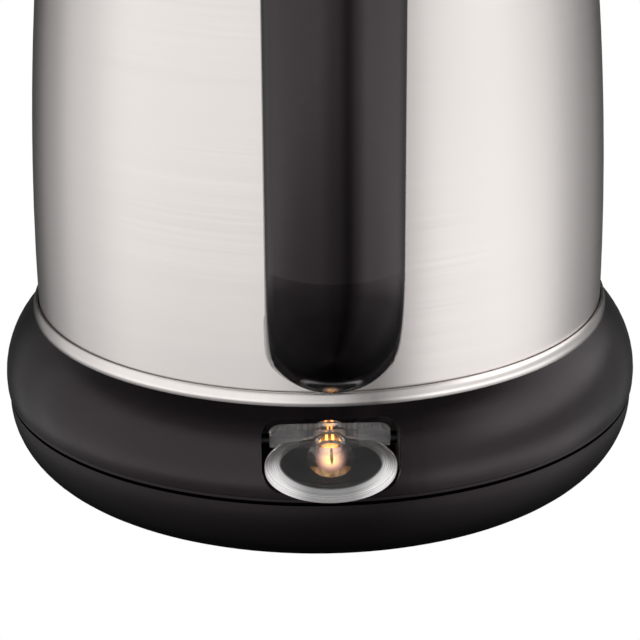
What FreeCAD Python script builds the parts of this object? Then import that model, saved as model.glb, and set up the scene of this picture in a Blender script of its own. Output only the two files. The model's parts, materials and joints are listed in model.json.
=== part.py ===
import FreeCAD, Part
import math
import os
import Sketcher
from FreeCAD import Placement, Rotation, Vector

# A cordless electric kettle on its power base, in millimetres with +Z up.
# The handle points to -Y and the spout to +Y. The origin is on the kettle's axis, in the plane of the feet.

SIZES = {
    # Power base
    "foot_height": 0.5,
    "foot_radius": 6.0,
    "foot_recess": 1.0,
    "foot_inset": 19.7,
    "base_foot_radius": 69.7,
    "base_inset": 0.5,
    "base_rim_height": 17.9,
    "base_inner_bulge_share": 0.6,
    "base_side_bulge": 3.1,
    "base_rim_width": 1.8,
    "base_wall": 2.2,
    "deck_drop": 2.5,
    "plate_thickness": 2.0,
    "base_screw_inset": 27.7,
    # Mains connector between base and kettle
    "tower_radius": 17.5,
    "tower_height": 9.0,
    "tower_flange": 3.0,
    "flange_thickness": 2.0,
    "live_ring_radius": 9.1,
    "earth_ring_radius": 13.5,
    "ring_blade": 0.8,
    "centre_pin_radius": 2.5,
    "contact_reach": 8.0,
    "contact_thickness": 1.0,
    "contact_clearance": 0.6,
    # Cord outlet of the base
    "cord_angle": 10.0,
    "cord_rise": 9.6,
    "outlet_radius": 5.0,
    "outlet_reach": 2.2,
    "outlet_root": 6.0,
    "gland_radius": 3.6,
    "gland_bore": 2.9,
    "gland_flange": 1.0,
    "gland_length": 7.0,
    # Kettle bottom
    "seat_gap": 2.0,
    "housing_height": 20.2,
    "housing_foot_radius": 80.9,
    "housing_inner_bulge_share": 0.8,
    "housing_bulge": 2.7,
    "housing_wall": 2.4,
    "lip_height": 0.75,
    "lip_groove": 0.25,
    "lip_setback": 0.3,
    "cover_thickness": 2.2,
    "foot_ring_inset": 16.5,
    "foot_ring_width": 4.0,
    "cover_screw_inset": 3.1,
    "trim_height": 3.2,
    "trim_wall": 1.0,
    "trim_bulge": 0.35,
    # Heater and control
    "floor_rise": 5.6,
    "floor_wall": 1.0,
    "floor_skirt": 5.5,
    "spreader_inset": 13.9,
    "spreader_thickness": 3.0,
    "element_inset": 12.0,
    "element_tube": 3.6,
    "element_sweep": 310.0,
    "control_radius": 28.0,
    "control_height": 7.0,
    "socket_wall": 2.4,
    "stud_circle": 21.0,
    "stud_radius": 2.6,
    "bimetal_radius": 9.0,
    "bimetal_thickness": 0.6,
    "bimetal_offset": 11.5,
    "block_width": 16.0,
    "block_height": 3.8,
    # Switch
    "pocket_width": 32.4,
    "pocket_foot": 1.0,
    "pocket_height": 17.0,
    "pocket_round": 4.0,
    "pocket_foot_round": 6.0,
    "tray_wall": 1.2,
    "tray_depth": 7.5,
    "tray_headroom": 1.1,
    "pivot_inset": 19.4,
    "pivot_rise": 7.1,
    "switch_tilt": 30.0,
    "switch_pin_radius": 1.5,
    "hub_radius": 3.0,
    "hub_width": 14.0,
    "rocker_width": 12.0,
    "rocker_tail": 9.0,
    "tail_width": 6.0,
    "tail_thickness": 3.6,
    "paddle_width": 31.0,
    "paddle_depth": 19.4,
    "paddle_thickness": 3.2,
    "paddle_rise": 5.1,
    "paddle_reach": 13.0,
    "paddle_bevel": 3.0,
    "paddle_edge": 1.9,
    "dimple_reach": 11.9,
    "dimple_radius": 5.6,
    "dimple_floor": 2.2,
    "dimple_depth": 2.4,
    "shield_width": 28.4,
    "shield_wall": 1.8,
    "shield_rise": 3.8,
    "shield_round": 3.0,
    "shield_setback": 4.6,
    "lamp_radius": 2.5,
    "lamp_wall": 0.5,
    "lamp_height": 6.2,
    "lamp_length": 5.6,
    "sleeve_wall": 1.2,
    "sleeve_start": 2.2,
    "electrode_radius": 0.35,
    "electrode_gap": 1.5,
    # Vessel, spout and top
    "vessel_tuck": 1.5,
    "vessel_foot_radius": 71.9,
    "vessel_rim_radius": 60.25,
    "vessel_height": 153.4,
    "vessel_bulge": 4.03,
    "vessel_wall": 0.8,
    "spout_drop": 44.0,
    "spout_rise": 3.0,
    "spout_out": 27.75,
    "spout_half_width": 25.0,
    "spout_nose": 9.0,
    "spout_foot_half_width": 9.0,
    "spout_foot_nose": 4.0,
    "spout_foot_proud": 0.6,
    "spout_wall": 0.8,
    "filter_angle": 40.0,
    "filter_height": 34.0,
    "filter_wall": 1.6,
    "filter_border": 3.0,
    "mesh_wall": 0.5,
    "steam_tube_radius": 5.0,
    "steam_tube_wall": 0.7,
    "steam_tube_inset": 8.25,
    "steam_tube_headroom": 26.0,
    "steam_seal_height": 2.5,
    "steam_seal_wall": 2.5,
    "collar_height": 5.0,
    "collar_overhang": 0.9,
    "collar_round": 1.2,
    "collar_skirt": 4.0,
    "mouth_inset": 6.55,
    # Lid
    "lid_overlap": 2.3,
    "lid_flange": 2.0,
    "lid_wall": 2.0,
    "lid_skirt_depth": 7.0,
    "lid_rise": 7.0,
    "lid_bulge": 1.2,
    "lid_cap_inset": 13.0,
    "lid_cap_rise": 3.0,
    "lid_cap_fall": 19.0,
    "lid_cap_wall": 0.8,
    "lid_seal_height": 2.5,
    "lid_seal_clearance": 0.7,
    "lid_liner_wall": 0.8,
    "lid_tab_radius": 10.0,
    "lid_tab_reach": 10.4,
    "lid_tab_thickness": 2.4,
    "lid_screw_inset": 20.0,
    "hinge_inset": 0.25,
    "hinge_rise": 4.6,
    "hinge_pin_radius": 1.5,
    "knuckle_radius": 3.7,
    "knuckle_width": 15.0,
    "ear_width": 4.0,
    "ear_clearance": 0.5,
    # Handle
    "handle_width": 30.4,
    "handle_crown": 11.0,
    "handle_back": 8.0,
    "handle_seam": 0.5,
    "handle_root_depth": 10.25,
    "handle_top_drop": 8.0,
    "handle_lean": 8.0,
    "handle_foot_out": 35.1,
    "handle_foot_rise": 20.0,
    "handle_side_round": 7.0,
    "handle_back_round": 5.0,
    "handle_top_bend": 28.0,
    "handle_foot_bend": 30.0,
    "boss_radius": 5.5,
    "boss_root": 5.0,
    "top_boss_length": 12.0,
    "foot_boss_length": 6.4,
    # Fasteners and fits
    "screw_radius": 1.5,
    "screw_head_radius": 2.9,
    "screw_head_height": 1.4,
    "screw_length": 9.0,
    "screw_seat": 0.8,
    "screw_boss_wall": 2.0,
    "fit": 0.1,
    "pin_fit": 0.05,
    "clearance": 0.3,
}

FEET = 4
FULL_TURN = 360
HANDLE_SIDE = 270
SCREWS = 3
QUARTER_BULGE = 1 - math.sqrt(0.5)


class Size:
    """A number, together with the expression that gives it in the document."""

    def __init__(self, number, text):
        self.number = number
        self.text = text

    def __add__(self, other):
        return joined(self, "+", other, self.number + sized(other).number)

    def __radd__(self, other):
        return sized(other) + self

    def __sub__(self, other):
        return joined(self, "-", other, self.number - sized(other).number)

    def __rsub__(self, other):
        return sized(other) - self

    def __mul__(self, other):
        return joined(self, "*", other, self.number * sized(other).number)

    def __rmul__(self, other):
        return sized(other) * self

    def __truediv__(self, other):
        return joined(self, "/", other, self.number / sized(other).number)

    def __neg__(self):
        return Size(-self.number, "(-%s)" % self.text)


def sized(value):
    return value if isinstance(value, Size) else Size(float(value), "(%.9g)" % value)


def joined(left, sign, right, number):
    return Size(number, "(%s %s %s)" % (left.text, sign, sized(right).text))


def root(value):
    return Size(math.sqrt(value.number), "sqrt(%s)" % value.text)


doc = FreeCAD.newDocument("kettle")
sheet = doc.addObject("Spreadsheet::Sheet", "sizes")
worked_out = doc.addObject("App::VarSet", "worked")
nodes = []


def fill_sheet():
    """Writes each driving size into the sheet, with its name beside it."""
    for row, (name, number) in enumerate(SIZES.items(), start=1):
        sheet.set("A%d" % row, name)
        sheet.set("B%d" % row, repr(number))
        sheet.setAlias("B%d" % row, name)
    doc.recompute()


class Sizes:
    """Reads a driving size from the sheet by its name."""

    def __getattr__(self, name):
        return Size(float(sheet.get(name)), "sizes.%s" % name)


def worked(name, value):
    """Keeps a worked out value in the document under a name of its own."""
    worked_out.addProperty("App::PropertyFloat", name)
    worked_out.setExpression(name, value.text)
    return Size(value.number, "worked.%s" % name)


def bind(thing, prop, value):
    thing.setExpression(prop, sized(value).text)


def bulge_radius(start, end, bulge):
    """Radius of the arc over a chord that stands out from it by the bulge."""
    across = end[0] - start[0]
    along = end[1] - start[1]
    return ((across * across + along * along) / 4 + bulge * bulge) / (bulge * 2)


class Curve:
    """An arc in the (radius, height) plane, from a lower to an upper point, standing out by a bulge."""

    def __init__(self, name, start, end, bulge):
        across = end[0] - start[0]
        along = end[1] - start[1]
        chord = worked(name + "_chord", root(across * across + along * along))
        self.radius = worked(name + "_arc", bulge_radius(start, end, bulge))
        back = bulge - self.radius
        self.centre_out = worked(name + "_centre_out", (start[0] + end[0]) / 2 + along / chord * back)
        self.centre_up = worked(name + "_centre_up", (start[1] + end[1]) / 2 - across / chord * back)

    def out_at(self, height):
        """Distance from the axis at a height."""
        rise = height - self.centre_up
        return self.centre_out + root(self.radius * self.radius - rise * rise)


def new_body(label):
    body = doc.addObject("PartDesign::Body", label)
    body.Label = label
    return body


def new_sketch(body, role, offset=None):
    """A sketch on one of the body's own origin planes, moved along the plane's normal by an offset."""
    sketch = body.newObject("Sketcher::SketchObject", body.Label + "_sketch")
    plane = next(feature for feature in body.Origin.OriginFeatures if feature.Role == role)
    sketch.AttachmentSupport = [(plane, "")]
    sketch.MapMode = "FlatFace"
    if offset is not None:
        bind(sketch, "AttachmentOffset.Base.z", offset)
    return sketch


def pin_point(sketch, edge, end, x, y):
    """Ties one end of an edge to its place in the sketch."""
    for kind, axis, value in (("DistanceX", -2, sized(x)), ("DistanceY", -1, sized(y))):
        if abs(value.number) < 1e-9:
            sketch.addConstraint(Sketcher.Constraint("PointOnObject", edge, end, axis))
        elif value.number > 0:
            index = sketch.addConstraint(Sketcher.Constraint(kind, -1, 1, edge, end, value.number))
            bind(sketch, "Constraints[%d]" % index, value)
        else:
            index = sketch.addConstraint(Sketcher.Constraint(kind, edge, end, -1, 1, -value.number))
            bind(sketch, "Constraints[%d]" % index, -value)


def arc_geometry(start, end, bulge):
    """An arc that stands out by the bulge to the right of its way, or to the left if negative."""
    chord = end - start
    half = chord.Length / 2
    radius = (half * half + bulge * bulge) / (2 * abs(bulge))
    right = Vector(chord.y, -chord.x, 0) / chord.Length
    centre = (start + end) / 2 + right * (bulge - math.copysign(radius, bulge))
    from_angle = math.atan2(start.y - centre.y, start.x - centre.x)
    to_angle = math.atan2(end.y - centre.y, end.x - centre.x)
    circle = Part.Circle(centre, Vector(0, 0, 1), radius)
    if bulge > 0:
        return Part.ArcOfCircle(circle, from_angle, to_angle), (1, 2)
    return Part.ArcOfCircle(circle, to_angle, from_angle), (2, 1)


def draw(sketch, corners, closed=True):
    """Draws edges through corners (x, y) or (x, y, bulge); a bulge makes an arc of the next edge."""
    points = [Vector(sized(corner[0]).number, sized(corner[1]).number, 0) for corner in corners]
    first = sketch.GeometryCount
    count = len(corners) if closed else len(corners) - 1
    ends = []
    for index in range(count):
        start = points[index]
        end = points[(index + 1) % len(points)]
        if len(corners[index]) == 2:
            edge = Part.LineSegment(start, end)
            order = (1, 2)
        else:
            edge, order = arc_geometry(start, end, sized(corners[index][2]).number)
        sketch.addGeometry(edge, False)
        ends.append(order)
    for index in range(count if closed else count - 1):
        after = (index + 1) % count
        sketch.addConstraint(
            Sketcher.Constraint("Coincident", first + index, ends[index][1], first + after, ends[after][0])
        )
    for index in range(count):
        pin_point(sketch, first + index, ends[index][0], corners[index][0], corners[index][1])
        if len(corners[index]) == 3:
            start = [sized(value) for value in corners[index][:2]]
            end = [sized(value) for value in corners[(index + 1) % len(corners)][:2]]
            bulge = sized(corners[index][2])
            bulge = bulge if bulge.number > 0 else -bulge
            radius = bulge_radius(start, end, bulge)
            place = sketch.addConstraint(Sketcher.Constraint("Radius", first + index, radius.number))
            bind(sketch, "Constraints[%d]" % place, radius)
    if not closed:
        pin_point(sketch, first + count - 1, ends[-1][1], corners[-1][0], corners[-1][1])


def draw_ring(sketch, radius, height):
    """Draws a circle on the sketch's vertical axis."""
    circle = Part.Circle(Vector(0, height.number, 0), Vector(0, 0, 1), radius.number)
    edge = sketch.addGeometry(circle, False)
    pin_point(sketch, edge, 3, 0, height)
    index = sketch.addConstraint(Sketcher.Constraint("Radius", edge, radius.number))
    bind(sketch, "Constraints[%d]" % index, radius)


def revolve(label, *outlines, angle=None):
    """A body turned about the Z axis from outlines of (distance from the axis, height)."""
    body = new_body(label)
    sketch = new_sketch(body, "XZ_Plane")
    for outline in outlines:
        draw(sketch, outline)
    turn = body.newObject("PartDesign::Revolution", label + "_turn")
    turn.Profile = sketch
    turn.ReferenceAxis = (sketch, ["V_Axis"])
    turn.Angle = FULL_TURN
    if angle is not None:
        turn.Midplane = True
        bind(turn, "Angle", angle)
    return body


def pad(label, role, outline, length, offset=None):
    """A body padded from one outline, along its plane's normal."""
    body = new_body(label)
    sketch = new_sketch(body, role, offset)
    draw(sketch, outline)
    block = body.newObject("PartDesign::Pad", label + "_pad")
    block.Profile = sketch
    bind(block, "Length", length)
    return body


def rounded_box(half_width, low, high, rounding, foot_rounding):
    """Outline of a box about the vertical axis of its sketch, with rounded corners above and below."""
    bulge = rounding * QUARTER_BULGE
    foot_bulge = foot_rounding * QUARTER_BULGE
    return [
        (-half_width + foot_rounding, low),
        (half_width - foot_rounding, low, foot_bulge),
        (half_width, low + foot_rounding),
        (half_width, high - rounding, bulge),
        (half_width - rounding, high),
        (-half_width + rounding, high, bulge),
        (-half_width, high - rounding),
        (-half_width, low + foot_rounding, foot_bulge),
    ]


def place(thing, base, turn=None):
    """Moves an object to a bound place, after turning it."""
    thing.Placement = Placement(Vector(*[sized(value).number for value in base]), turn or Rotation())
    for axis, value in zip("xyz", base):
        bind(thing, "Placement.Base.%s" % axis, value)
    return thing


def cylinder(label, radius, height, base=(0, 0, 0), direction=Vector(0, 0, 1)):
    thing = doc.addObject("Part::Cylinder", label)
    bind(thing, "Radius", radius)
    bind(thing, "Height", height)
    return place(thing, base, Rotation(Vector(0, 0, 1), direction))


def box(label, low, high):
    """A box between two opposite corners."""
    thing = doc.addObject("Part::Box", label)
    for prop, start, end in zip(("Length", "Width", "Height"), low, high):
        bind(thing, prop, sized(end) - start)
    return place(thing, low)


def fuse(label, *things):
    result = doc.addObject("Part::MultiFuse", label)
    result.Shapes = list(things)
    return result


def cut(label, base, *tools):
    """Cuts the tools from the base, one after another."""
    result = base
    for index, tool in enumerate(tools):
        last = index == len(tools) - 1
        step = doc.addObject("Part::Cut", label if last else label + "_step")
        step.Base = result
        step.Tool = tool
        step.Refine = False
        result = step
    return result


def group(label, things):
    """Separate solids that make up one node."""
    result = doc.addObject("Part::Compound", label)
    result.Links = list(things)
    return result


def around(count, first_angle, circle, height):
    """Places spread evenly about the Z axis."""
    angles = [math.radians(first_angle + FULL_TURN * index / count) for index in range(count)]
    return [(circle * math.cos(angle), circle * math.sin(angle), height) for angle in angles]


def screw(label, seat, length, upward=True):
    """A pan-head screw whose head bears on its seat; the shank points up, or down if it isn't upward."""
    way = 1 if upward else -1
    up = Vector(0, 0, way)
    x, y, z = seat
    head_base = (x, y, z - size.screw_head_height * way)
    head = cylinder(label + "_head", size.screw_head_radius, size.screw_head_height, head_base, up)
    shank = cylinder(label + "_shank", size.screw_radius, length, seat, up)
    return fuse(label, head, shank)


def screw_hole(label, seat, length, upward=True):
    """The room that a screw needs: its shank, and its head from the seat outwards."""
    way = 1 if upward else -1
    up = Vector(0, 0, way)
    x, y, z = seat
    head_room = size.screw_head_height * 3
    start = (x, y, z - head_room * way)
    head = cylinder(label + "_head", size.screw_head_radius + size.fit, head_room, start, up)
    shank = cylinder(label + "_shank", size.screw_radius + size.fit, length + size.fit, seat, up)
    return fuse(label, head, shank)


def node(thing, label):
    """Names a finished sub-part and keeps it for writing."""
    thing.Label = label
    nodes.append(thing)
    return thing


fill_sheet()
size = Sizes()

# Radii that several pieces share
screw_boss_radius = size.screw_radius + size.screw_boss_wall
screw_head_room = size.screw_head_radius + size.fit
base_rim_radius = size.housing_foot_radius - size.base_inset
foot_circle = size.base_foot_radius - size.foot_inset
base_screw_circle = size.base_foot_radius - size.base_screw_inset
spreader_radius = size.vessel_foot_radius - size.spreader_inset
element_radius = spreader_radius - size.element_inset
pivot_radius = size.housing_foot_radius - size.pivot_inset
steam_tube_offset = size.vessel_rim_radius - size.steam_tube_inset
mouth_radius = size.vessel_rim_radius - size.mouth_inset
lid_flange_radius = mouth_radius + size.lid_overlap
lid_cap_radius = lid_flange_radius - size.lid_cap_inset
lid_screw_circle = lid_flange_radius - size.lid_screw_inset
hinge_offset = size.vessel_rim_radius - size.hinge_inset
handle_foot_reach = size.vessel_foot_radius + size.handle_foot_out
handle_top_reach = handle_foot_reach + size.handle_lean
handle_root = size.vessel_rim_radius - size.handle_root_depth
boss_root = handle_root + size.boss_root
spout_reach = size.vessel_rim_radius + size.spout_out

# Heights that several pieces share, from the floor up
cord_height = size.foot_height + size.cord_rise
base_bottom = size.foot_height
base_rim = size.base_rim_height
deck_top = base_rim - size.deck_drop
deck_bottom = deck_top - size.base_wall
plate_top = base_bottom + size.plate_thickness
tower_top = deck_top + size.tower_height
housing_foot = base_rim + size.seat_gap
housing_top = housing_foot + size.housing_height
lip_top = housing_foot - size.lip_groove
lip_bottom = lip_top - size.lip_height
cover_top = housing_foot + size.cover_thickness
pivot_height = housing_foot + size.pivot_rise
trim_top = housing_top + size.trim_height
handle_foot_height = housing_top + size.handle_foot_rise
vessel_foot = housing_top - size.vessel_tuck
vessel_rim = vessel_foot + size.vessel_height
floor_top = housing_top + size.floor_rise
floor_bottom = floor_top - size.floor_wall
spreader_bottom = floor_bottom - size.spreader_thickness
control_bottom = tower_top + size.contact_clearance
control_top = control_bottom + size.control_height
collar_top = vessel_rim + size.collar_height

# Curves that several pieces follow
vessel_curve = Curve(
    "vessel", (size.vessel_foot_radius, vessel_foot), (size.vessel_rim_radius, vessel_rim), size.vessel_bulge
)
trim_inner = worked("trim_inner", vessel_curve.out_at(trim_top) + size.clearance)
trim_outer = trim_inner + size.trim_wall
housing_inner_foot = size.housing_foot_radius - size.housing_wall
housing_inner_top = housing_top - size.housing_wall
foot_ring_radius = housing_inner_foot - size.foot_ring_inset
collar_radius = size.vessel_rim_radius + size.collar_overhang


def vessel_solid(label, grow):
    """The vessel's outer form as a full solid, grown all round by an amount."""
    return revolve(
        label,
        [
            (0, vessel_foot),
            (size.vessel_foot_radius + grow, vessel_foot, size.vessel_bulge),
            (size.vessel_rim_radius + grow, vessel_rim),
            (0, vessel_rim),
        ],
    )


# Power base


def base_screw_seats():
    return around(SCREWS, 90, base_screw_circle, base_bottom + size.screw_head_height)


def power_base_shell():
    rim_inner = base_rim_radius - size.base_rim_width
    inner_bulge = size.base_side_bulge * size.base_inner_bulge_share
    bowl = revolve(
        "base_bowl",
        [
            (size.base_foot_radius, base_bottom, size.base_side_bulge),
            (base_rim_radius, base_rim),
            (rim_inner, base_rim),
            (rim_inner, deck_top),
            (size.tower_radius + size.fit, deck_top),
            (size.tower_radius + size.fit, deck_bottom),
            (rim_inner - size.base_wall / 2, deck_bottom, -inner_bulge),
            (size.base_foot_radius - size.base_wall, base_bottom),
        ],
    )
    bosses = [
        cylinder("base_boss", screw_boss_radius, deck_bottom + size.fit - plate_top, spot)
        for spot in around(SCREWS, 90, base_screw_circle, plate_top)
    ]
    outlet = cylinder(
        "outlet_nose",
        size.outlet_radius,
        size.outlet_reach + size.outlet_root,
        cord_place(base_rim_radius - size.outlet_root),
        CORD_WAY,
    )
    cord_hole = cylinder(
        "cord_hole",
        size.gland_radius + size.fit,
        size.outlet_root * 3,
        cord_place(base_rim_radius - size.outlet_root * 2),
        CORD_WAY,
    )
    holes = [screw_hole("base_boss_hole", seat, size.screw_length) for seat in base_screw_seats()]
    whole = fuse("base_whole", bowl, outlet, *bosses)
    return cut("power_base_shell", whole, cord_hole, *holes)


CORD_WAY = Vector(math.cos(math.radians(SIZES["cord_angle"])), math.sin(math.radians(SIZES["cord_angle"])), 0)


def cord_place(distance):
    """A point on the cord outlet's axis, at a distance from the kettle's axis."""
    return (distance * CORD_WAY.x, distance * CORD_WAY.y, cord_height)


def cord_gland():
    end = base_rim_radius + size.outlet_reach
    sleeve = cylinder(
        "gland_sleeve", size.gland_radius, size.gland_length, cord_place(end - size.gland_length), CORD_WAY
    )
    flange = cylinder(
        "gland_flange", size.outlet_radius - size.clearance, size.gland_flange, cord_place(end), CORD_WAY
    )
    bore = cylinder(
        "gland_bore",
        size.gland_bore,
        size.gland_length * 2,
        cord_place(end - size.gland_length - size.gland_length / 2),
        CORD_WAY,
    )
    return cut("cord_gland", fuse("gland_body", sleeve, flange), bore)


def power_base_plate():
    radius = size.base_foot_radius - size.base_wall - size.clearance
    disc = cylinder("plate_disc", radius, size.plate_thickness, (0, 0, base_bottom))
    recesses = [
        cylinder("foot_recess", size.foot_radius + size.fit, size.foot_recess, spot)
        for spot in around(FEET, 45, foot_circle, base_bottom)
    ]
    holes = [screw_hole("plate_hole", seat, size.screw_length) for seat in base_screw_seats()]
    return cut("power_base_plate", disc, *recesses, *holes)


def base_feet():
    height = base_bottom + size.foot_recess
    return group(
        "base_feet",
        [cylinder("foot", size.foot_radius, height, spot) for spot in around(FEET, 45, foot_circle, 0)],
    )


def base_screws():
    return group("base_screws", [screw("base_screw", seat, size.screw_length) for seat in base_screw_seats()])


def slot_floor():
    """Height of the floor of the tower's ring slots, on which the contacts lie."""
    return control_bottom - size.contact_reach - size.contact_clearance - size.contact_thickness


def blade_room():
    return size.ring_blade / 2 + size.contact_clearance


def base_connector():
    """The round tower: a flange under the deck, two ring slots and a bore, all open at the top."""
    room = blade_room()
    floor = slot_floor()
    live_inner = size.live_ring_radius - room
    live_outer = size.live_ring_radius + room
    earth_inner = size.earth_ring_radius - room
    earth_outer = size.earth_ring_radius + room
    pin_room = size.centre_pin_radius + size.contact_clearance
    flange_bottom = deck_bottom - size.flange_thickness
    tower = revolve(
        "tower",
        [
            (0, flange_bottom),
            (size.tower_radius + size.tower_flange, flange_bottom),
            (size.tower_radius + size.tower_flange, deck_bottom),
            (size.tower_radius, deck_bottom),
            (size.tower_radius, tower_top),
            (earth_outer, tower_top),
            (earth_outer, floor),
            (earth_inner, floor),
            (earth_inner, tower_top),
            (live_outer, tower_top),
            (live_outer, floor),
            (live_inner, floor),
            (live_inner, tower_top),
            (pin_room, tower_top),
            (pin_room, floor),
            (0, floor),
        ],
    )
    return tower


def ring_outline(radius, half_width, low, high):
    return [
        (radius - half_width, low),
        (radius + half_width, low),
        (radius + half_width, high),
        (radius - half_width, high),
    ]


def base_contacts():
    """Two contact rings and a centre button on the floors of the tower's slots."""
    floor = slot_floor()
    top = floor + size.contact_thickness
    half = blade_room() - size.fit
    button = cylinder("contact_button", size.centre_pin_radius, size.contact_thickness, (0, 0, floor))
    rings = [
        revolve("contact_ring", ring_outline(radius, half, floor, top))
        for radius in (size.live_ring_radius, size.earth_ring_radius)
    ]
    return group("base_contacts", [button, *rings])


# Kettle bottom


def cover_screw_seats():
    circle = housing_inner_foot - size.cover_screw_inset
    return around(SCREWS, 90, circle, lip_bottom + size.screw_head_height)


def pocket_opening(label):
    """The switch pocket's rounded opening, as a solid through the housing's wall on the handle side."""
    low = housing_foot + size.pocket_foot
    return pad(
        label,
        "XZ_Plane",
        rounded_box(
            size.pocket_width / 2, low, low + size.pocket_height, size.pocket_round, size.pocket_foot_round
        ),
        size.housing_foot_radius,
        pivot_radius,
    )


def housing_core(label, gap):
    """The space inside the housing's wall, less a gap all round."""
    return revolve(
        label,
        [
            (0, housing_foot),
            (housing_inner_foot - gap, housing_foot, size.housing_bulge * size.housing_inner_bulge_share),
            (trim_inner - gap, housing_inner_top),
            (trim_inner - gap, vessel_foot - size.fit),
            (0, vessel_foot - size.fit),
        ],
    )


def bottom_housing():
    skirt = revolve(
        "housing_skirt",
        [
            (size.housing_foot_radius, housing_foot, size.housing_bulge),
            (trim_outer, housing_top),
            (trim_inner, housing_top),
            (trim_inner, housing_inner_top, -size.housing_bulge * size.housing_inner_bulge_share),
            (housing_inner_foot, housing_foot),
        ],
    )
    boss_height = size.screw_length + size.screw_boss_wall
    bosses = [
        cylinder("housing_boss", screw_boss_radius, boss_height - size.cover_thickness, spot)
        for spot in around(SCREWS, 90, housing_inner_foot - size.cover_screw_inset, cover_top)
    ]
    holes = [screw_hole("housing_hole", seat, size.screw_length) for seat in cover_screw_seats()]
    whole = fuse("housing_whole", skirt, *bosses)
    return cut("bottom_housing", whole, pocket_opening("housing_pocket"), *holes)


def bottom_cover():
    """The kettle's underside: a lip that shows in the seam, a ring to stand on and a socket opening."""
    outer = housing_inner_foot - size.fit
    lip_radius = size.housing_foot_radius - size.lip_setback
    ring_inner = foot_ring_radius - size.foot_ring_width / 2
    ring_outer = foot_ring_radius + size.foot_ring_width / 2
    opening = size.tower_radius + size.clearance * 2 + size.socket_wall + size.fit
    underside = cover_top - size.cover_thickness
    disc = revolve(
        "cover_disc",
        [
            (opening, underside),
            (ring_inner, underside),
            (ring_inner, deck_top + size.clearance),
            (ring_outer, deck_top + size.clearance),
            (ring_outer, lip_bottom),
            (lip_radius, lip_bottom),
            (lip_radius, lip_top),
            (outer, lip_top),
            (outer, cover_top),
            (opening, cover_top),
        ],
    )
    holes = [screw_hole("cover_hole", seat, size.screw_length) for seat in cover_screw_seats()]
    return cut("bottom_cover", disc, *holes)


def cover_screws():
    screws = [screw("cover_screw", seat, size.screw_length) for seat in cover_screw_seats()]
    return group("cover_screws", screws)


def trim_ring():
    return revolve(
        "trim_ring",
        [
            (trim_inner, housing_top),
            (trim_outer, housing_top, size.trim_bulge),
            (trim_outer - size.trim_wall / 2, trim_top),
            (trim_inner, trim_top),
        ],
    )


# Heater and control


def steam_tube_hole(label):
    height = size.vessel_height
    return cylinder(label, size.steam_tube_radius + size.fit, height, (0, -steam_tube_offset, vessel_foot))


def heater_plate():
    """The vessel's floor, with a skirt down inside the vessel's wall."""
    outer = size.vessel_foot_radius - size.vessel_wall - size.fit
    skirt_foot = floor_top - size.floor_skirt
    disc = revolve(
        "floor_disc",
        [
            (0, floor_bottom),
            (outer - size.floor_wall, floor_bottom),
            (outer - size.floor_wall, skirt_foot),
            (outer, skirt_foot),
            (outer, floor_top),
            (0, floor_top),
        ],
    )
    return cut("heater_plate", disc, steam_tube_hole("floor_hole"))


def heat_spreader():
    disc = cylinder("spreader_disc", spreader_radius, size.spreader_thickness, (0, 0, spreader_bottom))
    return cut("heat_spreader", disc, steam_tube_hole("spreader_hole"))


def heating_element():
    """An open ring of sheathed tube under the spreader, with its gap on the handle side."""
    ring = doc.addObject("Part::Torus", "heating_element")
    bind(ring, "Radius1", element_radius)
    bind(ring, "Radius2", size.element_tube)
    bind(ring, "Angle3", size.element_sweep)
    place(ring, (0, 0, spreader_bottom - size.element_tube - size.fit))
    start = sized(HANDLE_SIDE) + (FULL_TURN - size.element_sweep) / 2
    bind(ring, "Placement.Rotation.Angle", start)
    return ring


def control_body():
    """The thermostatic control: a disc over a round socket wall, with grooves for the contact rings."""
    socket_inner = size.tower_radius + size.clearance * 2
    socket_outer = socket_inner + size.socket_wall
    room = blade_room()
    groove_top = control_bottom + size.control_height / 2
    return revolve(
        "control_body",
        [
            (size.centre_pin_radius + size.contact_clearance, control_bottom),
            (size.live_ring_radius - room, control_bottom),
            (size.live_ring_radius - room, groove_top),
            (size.live_ring_radius + room, groove_top),
            (size.live_ring_radius + room, control_bottom),
            (size.earth_ring_radius - room, control_bottom),
            (size.earth_ring_radius - room, groove_top),
            (size.earth_ring_radius + room, groove_top),
            (size.earth_ring_radius + room, control_bottom),
            (socket_inner, control_bottom),
            (socket_inner, cover_top - size.cover_thickness),
            (socket_outer, cover_top - size.cover_thickness),
            (socket_outer, control_bottom),
            (size.control_radius, control_bottom),
            (size.control_radius, control_top),
            (0, control_top),
            (0, groove_top),
            (size.centre_pin_radius + size.contact_clearance, groove_top),
        ],
    )


def control_studs():
    height = spreader_bottom - control_top
    return group(
        "control_studs",
        [
            cylinder("control_stud", size.stud_radius, height, spot)
            for spot in around(SCREWS, 90, size.stud_circle, control_top)
        ],
    )


def bimetal_discs():
    return group(
        "bimetal_discs",
        [
            cylinder("bimetal_disc", size.bimetal_radius, size.bimetal_thickness, (side, 0, control_top))
            for side in (-size.bimetal_offset, size.bimetal_offset)
        ],
    )


def socket_contacts():
    """Centre pin and two ring blades that reach down from the control into the tower's slots."""
    low = control_bottom - size.contact_reach
    high = control_bottom + size.control_height / 2 - size.clearance
    half = size.ring_blade / 2
    pin = cylinder("socket_pin", size.centre_pin_radius, high - low, (0, 0, low))
    blades = [
        revolve("socket_blade", ring_outline(radius, half, low, high))
        for radius in (size.live_ring_radius, size.earth_ring_radius)
    ]
    return group("socket_contacts", [pin, *blades])


def tray_back():
    return pivot_radius - size.tray_depth


def contact_block():
    """The switch contacts' case, between the control and the switch tray."""
    half = size.block_width / 2
    block = box(
        "contact_block_case",
        (-half, -(tray_back() - size.tray_wall), cover_top + size.fit),
        (half, -size.control_radius + size.fit, cover_top + size.fit + size.block_height),
    )
    room = cylinder("control_room", size.control_radius + size.fit, size.vessel_height, (0, 0, 0))
    return cut("contact_block", block, room)


# Switch


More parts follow.
